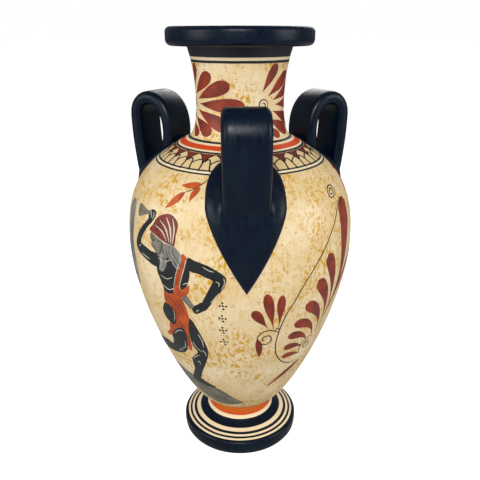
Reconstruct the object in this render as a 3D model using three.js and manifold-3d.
// Three-handled ceramic amphora, built from the sections a potter throws, pulls and lutes together.
// Millimetres, +Z up. The origin is the centre of the foot's flat underside, and one handle points to -Y.
import * as THREE from 'three';
import Module from 'manifold-3d';
import { mergeVertices } from 'three/addons/utils/BufferGeometryUtils.js';

const wasm = await Module();
wasm.setup();

// Heights of the thrown sections, from the ground up.
const FOOT_HEIGHT = 20.5;
const COLLAR_HEIGHT = 12.5;
const BOWL_HEIGHT = 141;
const SHOULDER_HEIGHT = 73.5;
const NECK_HEIGHT = 60;
const LIP_HEIGHT = 12.5;

// Radii of the outside.
const FOOT_RADIUS = 47.2;
const COLLAR_RADIUS = 26.5;
const BOWL_BASE_RADIUS = 29.5;
const BODY_RADIUS = 83.1;
const NECK_BASE_RADIUS = 36;
const NECK_TOP_RADIUS = 36.4;
const NECK_PINCH = 8;
const LIP_RADIUS = 50.6;

// Walls and hollows.
const BODY_WALL = 6;
const NECK_WALL = 5;
const BOWL_FLOOR = 8;
const MOUTH_FLARE = 5;
const COLLAR_HOLLOW = 1.2;

// Foot disc: height of its side, the roll of its edge and the dish of its top.
const FOOT_SIDE = 12;
const FOOT_EDGE_ROUND = 2.4;
const FOOT_RIM_WIDTH = 13;
const FOOT_RIM_RISE = 2.4;
const FOOT_UNDERCUT = 0.8;

const LIP_ROUND_LOW = 4;
const LIP_ROUND_HIGH = 3;

// Handles: a flat strap bent into a loop over the shoulder.
// How far round each handle sits from the front, in degrees: set by hand and eye, so not quite even.
const HANDLE_TURNS = { front: 0, right: 115, left: 240 };
const STRAP_WIDTH = 29.7;
const STRAP_THICKNESS = 9.5;
const STRAP_ROUND = 3.8;
const LOOP_INNER_RADIUS = 9.4;
const LOOP_RISE = 10.5;
const LOOP_OUTREACH = 3.9;
const INNER_LEG_DROP = 11;
const INNER_LEG_CURL = 3.6;
const OUTER_LEG_LEAN = 8.3;
const OUTER_LEG_END = 50;

// Root: the pad of clay smoothed over the body under each handle, shaped like a leaf.
const ROOT_THICKNESS = 2;
const ROOT_HALF_WIDTH = 26;
const ROOT_BELOW_NECK = 5.5;
const ROOT_WIDEST_BELOW_NECK = 34;
const ROOT_LENGTH = 82;

// How full each curve runs, as a share of the section it crosses: the way out or in, and the way up.
const BOWL_BASE_PULL = [0.17, 0.04];
const BOWL_BELLY_PULL = 0.365;
const SHOULDER_BELLY_PULL = 0.53;
const SHOULDER_TOP_PULL = [0.77, 0.264];
const NECK_LOW_PULL = 0.13;
const NECK_HIGH_PULL = [0.8, 0.313];
const ROOT_TIP_PULL = [0.5, 0.45];
const ROOT_SIDE_PULL = 0.35;
const ROOT_TOP_PULL = [0.6, 0.45];
const LEG_PULL = 0.4;
const FLOOR_SHARE = 0.7;

// Clearance left where two sections meet.
const GAP = 0.3;

// Fineness of the curves.
const ROUND_SEGMENTS = 48;
const BOWL_STEPS = 11;
const SHOULDER_STEPS = 9;
const NECK_STEPS = 7;
const EDGE_STEPS = 3;
const STRAP_STEPS = 30;
const STRAP_CORNER_STEPS = 3;
const ROOT_STEPS = 5;

const COLLAR_BASE = FOOT_HEIGHT;
const BOWL_BASE = COLLAR_BASE + COLLAR_HEIGHT;
const SHOULDER_BASE = BOWL_BASE + BOWL_HEIGHT;
const NECK_BASE = SHOULDER_BASE + SHOULDER_HEIGHT;
const LIP_BASE = NECK_BASE + NECK_HEIGHT;
const LIP_TOP = LIP_BASE + LIP_HEIGHT;

const BLACK_SLIP = { color: 0x0b1420, roughness: 0.35, metalness: 0 };
const CREAM_SLIP = { color: 0xeedcb8, roughness: 0.6, metalness: 0 };
const ORANGE_SLIP = { color: 0xe0702a, roughness: 0.55, metalness: 0 };

const point = (r, z) => new THREE.Vector2(r, z);

// A smooth outline between two points, drawn towards two pull points.
function curve(start, pullStart, pullEnd, end, steps) {
  return new THREE.CubicBezierCurve(start, pullStart, pullEnd, end).getPoints(steps);
}

// A quarter-round edge about a centre, from one angle to another in degrees.
function edge(r, z, radius, from, to) {
  const points = [];
  for (let i = 0; i <= EDGE_STEPS; i += 1) {
    const angle = THREE.MathUtils.degToRad(from + ((to - from) * i) / EDGE_STEPS);
    points.push(point(r + radius * Math.cos(angle), z + radius * Math.sin(angle)));
  }
  return points;
}

// The same outline moved sideways: outwards when the distance is positive.
function offset(outline, distance) {
  return outline.map((here, i) => {
    const before = outline[Math.max(i - 1, 0)];
    const after = outline[Math.min(i + 1, outline.length - 1)];
    const along = after.clone().sub(before).normalize();
    return point(here.x + along.y * distance, here.y - along.x * distance);
  });
}

// The outside of each section, from its lower edge up.
const bowlOutside = curve(
  point(BOWL_BASE_RADIUS, BOWL_BASE),
  point(BOWL_BASE_RADIUS + BODY_RADIUS * BOWL_BASE_PULL[0], BOWL_BASE + BOWL_HEIGHT * BOWL_BASE_PULL[1]),
  point(BODY_RADIUS, SHOULDER_BASE - BOWL_HEIGHT * BOWL_BELLY_PULL),
  point(BODY_RADIUS, SHOULDER_BASE),
  BOWL_STEPS,
);
const shoulderOutside = curve(
  point(BODY_RADIUS, SHOULDER_BASE),
  point(BODY_RADIUS, SHOULDER_BASE + SHOULDER_HEIGHT * SHOULDER_BELLY_PULL),
  point(
    NECK_BASE_RADIUS + (BODY_RADIUS - NECK_BASE_RADIUS) * SHOULDER_TOP_PULL[0],
    NECK_BASE - SHOULDER_HEIGHT * SHOULDER_TOP_PULL[1],
  ),
  point(NECK_BASE_RADIUS, NECK_BASE),
  SHOULDER_STEPS,
);
const neckOutside = curve(
  point(NECK_BASE_RADIUS, NECK_BASE),
  point(NECK_BASE_RADIUS - NECK_PINCH, NECK_BASE + NECK_HEIGHT * NECK_LOW_PULL),
  point(NECK_TOP_RADIUS - NECK_PINCH * NECK_HIGH_PULL[0], LIP_BASE - NECK_HEIGHT * NECK_HIGH_PULL[1]),
  point(NECK_TOP_RADIUS, LIP_BASE),
  NECK_STEPS,
);

// Turns an outline round the Z axis. It runs up the outside and, on a ring, back down the inside.
function turned(outline) {
  return new THREE.LatheGeometry(outline, ROUND_SEGMENTS).rotateX(Math.PI / 2);
}

function ring(outside, inside) {
  return turned([...outside, ...inside.slice().reverse(), outside[0]]);
}

function solid(geometry) {
  const bare = geometry.clone();
  bare.deleteAttribute('normal');
  bare.deleteAttribute('uv');
  const merged = mergeVertices(bare);
  const index = merged.index.array;
  const triangles = [];
  for (let i = 0; i < index.length; i += 3) {
    const [a, b, c] = [index[i], index[i + 1], index[i + 2]];
    if (a !== b && b !== c && c !== a) triangles.push(a, b, c);
  }
  const vertProperties = new Float32Array(merged.attributes.position.array);
  return new wasm.Manifold(new wasm.Mesh({ numProp: 3, vertProperties, triVerts: new Uint32Array(triangles) }));
}

function geometryOf(manifold) {
  const mesh = manifold.getMesh();
  const geometry = new THREE.BufferGeometry();
  geometry.setAttribute('position', new THREE.BufferAttribute(mesh.vertProperties, 3));
  geometry.setIndex(new THREE.BufferAttribute(mesh.triVerts, 1));
  return geometry;
}

function piece(name, geometry, slip) {
  const mesh = new THREE.Mesh(geometry, new THREE.MeshStandardMaterial(slip));
  mesh.name = name;
  return mesh;
}

function footGeometry() {
  const rimRadius = FOOT_RADIUS - FOOT_EDGE_ROUND;
  return turned([
    point(0, 0),
    point(FOOT_RADIUS - FOOT_UNDERCUT, 0),
    point(FOOT_RADIUS, FOOT_SIDE * 0.4),
    ...edge(rimRadius, FOOT_SIDE - FOOT_EDGE_ROUND, FOOT_EDGE_ROUND, 0, 75),
    ...curve(
      point(rimRadius - 1, FOOT_SIDE + FOOT_EDGE_ROUND * 0.2),
      point(rimRadius - FOOT_RIM_WIDTH * 0.5, FOOT_SIDE + FOOT_RIM_RISE),
      point(COLLAR_RADIUS + 4, FOOT_SIDE + FOOT_RIM_RISE + 1.5),
      point(COLLAR_RADIUS, FOOT_HEIGHT),
      EDGE_STEPS * 2,
    ),
    point(0, FOOT_HEIGHT),
  ]);
}

function collarGeometry() {
  const base = COLLAR_BASE + GAP;
  const top = BOWL_BASE - GAP;
  const waist = COLLAR_RADIUS - COLLAR_HOLLOW;
  return turned([
    point(0, base),
    ...curve(
      point(COLLAR_RADIUS, base),
      point(waist, base + COLLAR_HEIGHT / 3),
      point(waist, top - COLLAR_HEIGHT / 3),
      point(BOWL_BASE_RADIUS, top),
      EDGE_STEPS * 2,
    ),
    point(0, top),
  ]);
}

function bowlGeometry() {
  const floor = BOWL_BASE + BOWL_FLOOR;
  const inside = offset(bowlOutside, -BODY_WALL).filter((here) => here.y > floor);
  inside[inside.length - 1] = point(BODY_RADIUS - BODY_WALL, SHOULDER_BASE);
  const floorRadius = inside[0].x * FLOOR_SHARE;
  return turned([
    point(0, BOWL_BASE),
    ...bowlOutside,
    ...inside.reverse(),
    point(floorRadius, floor),
    point(0, floor),
  ]);
}

function shoulderGeometry() {
  const seat = point(BODY_RADIUS, SHOULDER_BASE + GAP);
  const bore = NECK_BASE_RADIUS - NECK_WALL;
  const inside = offset(shoulderOutside, -BODY_WALL).filter((here) => here.x > bore);
  inside[0] = point(BODY_RADIUS - BODY_WALL, seat.y);
  const underNeck = point(bore, inside[inside.length - 1].y);
  return ring([seat, ...shoulderOutside.slice(1)], [...inside, underNeck, point(bore, NECK_BASE)]);
}

function neckGeometry() {
  const base = point(NECK_BASE_RADIUS, NECK_BASE + GAP);
  const outside = [base, ...neckOutside.slice(1)];
  return ring(outside, outside.map((here) => point(here.x - NECK_WALL, here.y)));
}

function lipGeometry() {
  const base = LIP_BASE + GAP;
  const bore = NECK_TOP_RADIUS - NECK_WALL;
  const outside = [
    point(NECK_TOP_RADIUS, base),
    ...edge(LIP_RADIUS - LIP_ROUND_LOW, base + LIP_ROUND_LOW, LIP_ROUND_LOW, -90, 0),
    ...edge(LIP_RADIUS - LIP_ROUND_HIGH, LIP_TOP - LIP_ROUND_HIGH, LIP_ROUND_HIGH, 0, 90),
  ];
  return ring(outside, [point(bore, base), point(bore + MOUTH_FLARE, LIP_TOP)]);
}

// The body's outside grown by a distance, as one solid without a hollow, for cutting what rests on it.
function grownBody(distance) {
  const grown = offset([...bowlOutside, ...shoulderOutside.slice(1)], distance);
  return solid(turned([point(0, grown[0].y), ...grown, point(0, grown[grown.length - 1].y)]));
}

// One side of the leaf outline, across the strap (x) and up the body (y), from its tip to its top.
function leafSide(side) {
  const top = NECK_BASE - ROOT_BELOW_NECK;
  const widest = NECK_BASE - ROOT_WIDEST_BELOW_NECK;
  const tip = top - ROOT_LENGTH;
  const halfWidth = side * ROOT_HALF_WIDTH;
  const lower = curve(
    point(0, tip),
    point(halfWidth * ROOT_TIP_PULL[0], tip + (widest - tip) * ROOT_TIP_PULL[1]),
    point(halfWidth, widest - (widest - tip) * ROOT_SIDE_PULL),
    point(halfWidth, widest),
    ROOT_STEPS,
  );
  const upper = curve(
    point(halfWidth, widest),
    point(halfWidth, widest + (top - widest) * ROOT_TOP_PULL[1]),
    point(side * STRAP_WIDTH * ROOT_TOP_PULL[0], top),
    point(0, top),
    ROOT_STEPS,
  );
  return [...lower, ...upper.slice(1)];
}

// The leaf swept outwards through the wall.
function rootPrism() {
  const right = leafSide(1);
  const left = leafSide(-1).slice(1, -1).reverse();
  const leaf = new THREE.Shape([...right, ...left]);
  const reach = BODY_RADIUS + ROOT_THICKNESS * 2;
  const prism = new THREE.ExtrudeGeometry(leaf, { depth: reach, bevelEnabled: false });
  return solid(prism.rotateX(Math.PI / 2).rotateZ(Math.PI / 2));
}

function rootSolid() {
  return grownBody(GAP + ROOT_THICKNESS).subtract(grownBody(GAP)).intersect(rootPrism());
}

function strapSection() {
  const halfWidth = STRAP_WIDTH / 2;
  const halfThickness = STRAP_THICKNESS / 2;
  const x = halfWidth - STRAP_ROUND;
  const y = halfThickness - STRAP_ROUND;
  const section = new THREE.Shape();
  section.absarc(x, y, STRAP_ROUND, 0, Math.PI / 2);
  section.absarc(-x, y, STRAP_ROUND, Math.PI / 2, Math.PI);
  section.absarc(-x, -y, STRAP_ROUND, Math.PI, Math.PI * 1.5);
  section.absarc(x, -y, STRAP_ROUND, Math.PI * 1.5, Math.PI * 2);
  return section;
}

// The loop's centre line in the XZ plane: up the curled inner leg, over the bend and down the outer leg.
function strapPath() {
  const bend = LOOP_INNER_RADIUS + STRAP_THICKNESS / 2;
  const outer = BODY_RADIUS + LOOP_OUTREACH - STRAP_THICKNESS / 2;
  const inner = outer - 2 * bend;
  const bendHeight = NECK_BASE + LOOP_RISE;
  const over = 4 / 3 * bend;
  const at = (x, z) => new THREE.Vector3(x, 0, z);
  const innerStart = at(inner + INNER_LEG_CURL * 2, NECK_BASE - SHOULDER_HEIGHT * LEG_PULL);
  const innerTop = at(inner, bendHeight - INNER_LEG_DROP);
  const outerTop = at(outer, bendHeight);
  const outerEnd = at(outer - OUTER_LEG_LEAN, NECK_BASE - OUTER_LEG_END);
  const path = new THREE.CurvePath();
  path.add(new THREE.CubicBezierCurve3(
    innerStart,
    at(inner + INNER_LEG_CURL, NECK_BASE - OUTER_LEG_END * LEG_PULL),
    at(inner, NECK_BASE - LOOP_RISE),
    innerTop,
  ));
  path.add(new THREE.CubicBezierCurve3(
    innerTop,
    at(inner, bendHeight + over),
    at(outer, bendHeight + over),
    outerTop,
  ));
  path.add(new THREE.CubicBezierCurve3(
    outerTop,
    at(outer, bendHeight - OUTER_LEG_END * LEG_PULL),
    at(outer - OUTER_LEG_LEAN * 0.5, NECK_BASE - OUTER_LEG_END * 0.5),
    outerEnd,
  ));
  return path;
}

function strapSolid() {
  const swept = new THREE.ExtrudeGeometry(strapSection(), {
    steps: STRAP_STEPS,
    extrudePath: strapPath(),
    curveSegments: STRAP_CORNER_STEPS,
  });
  return solid(swept).subtract(grownBody(GAP + ROOT_THICKNESS + GAP));
}

const amphora = new THREE.Group();
amphora.add(piece('foot_disc', footGeometry(), BLACK_SLIP));
amphora.add(piece('foot_collar', collarGeometry(), ORANGE_SLIP));
amphora.add(piece('body_bowl', bowlGeometry(), CREAM_SLIP));
amphora.add(piece('body_shoulder', shoulderGeometry(), CREAM_SLIP));
amphora.add(piece('neck', neckGeometry(), CREAM_SLIP));
amphora.add(piece('lip', lipGeometry(), BLACK_SLIP));

const strapGeometry = geometryOf(strapSolid());
const rootGeometry = geometryOf(rootSolid());
Object.entries(HANDLE_TURNS).forEach(([side, turn]) => {
  const handle = new THREE.Group();
  handle.rotation.z = THREE.MathUtils.degToRad(turn - 90);
  handle.add(piece(`${side}_handle_strap`, strapGeometry, BLACK_SLIP));
  handle.add(piece(`${side}_handle_root`, rootGeometry, BLACK_SLIP));
  amphora.add(handle);
});

export default amphora;
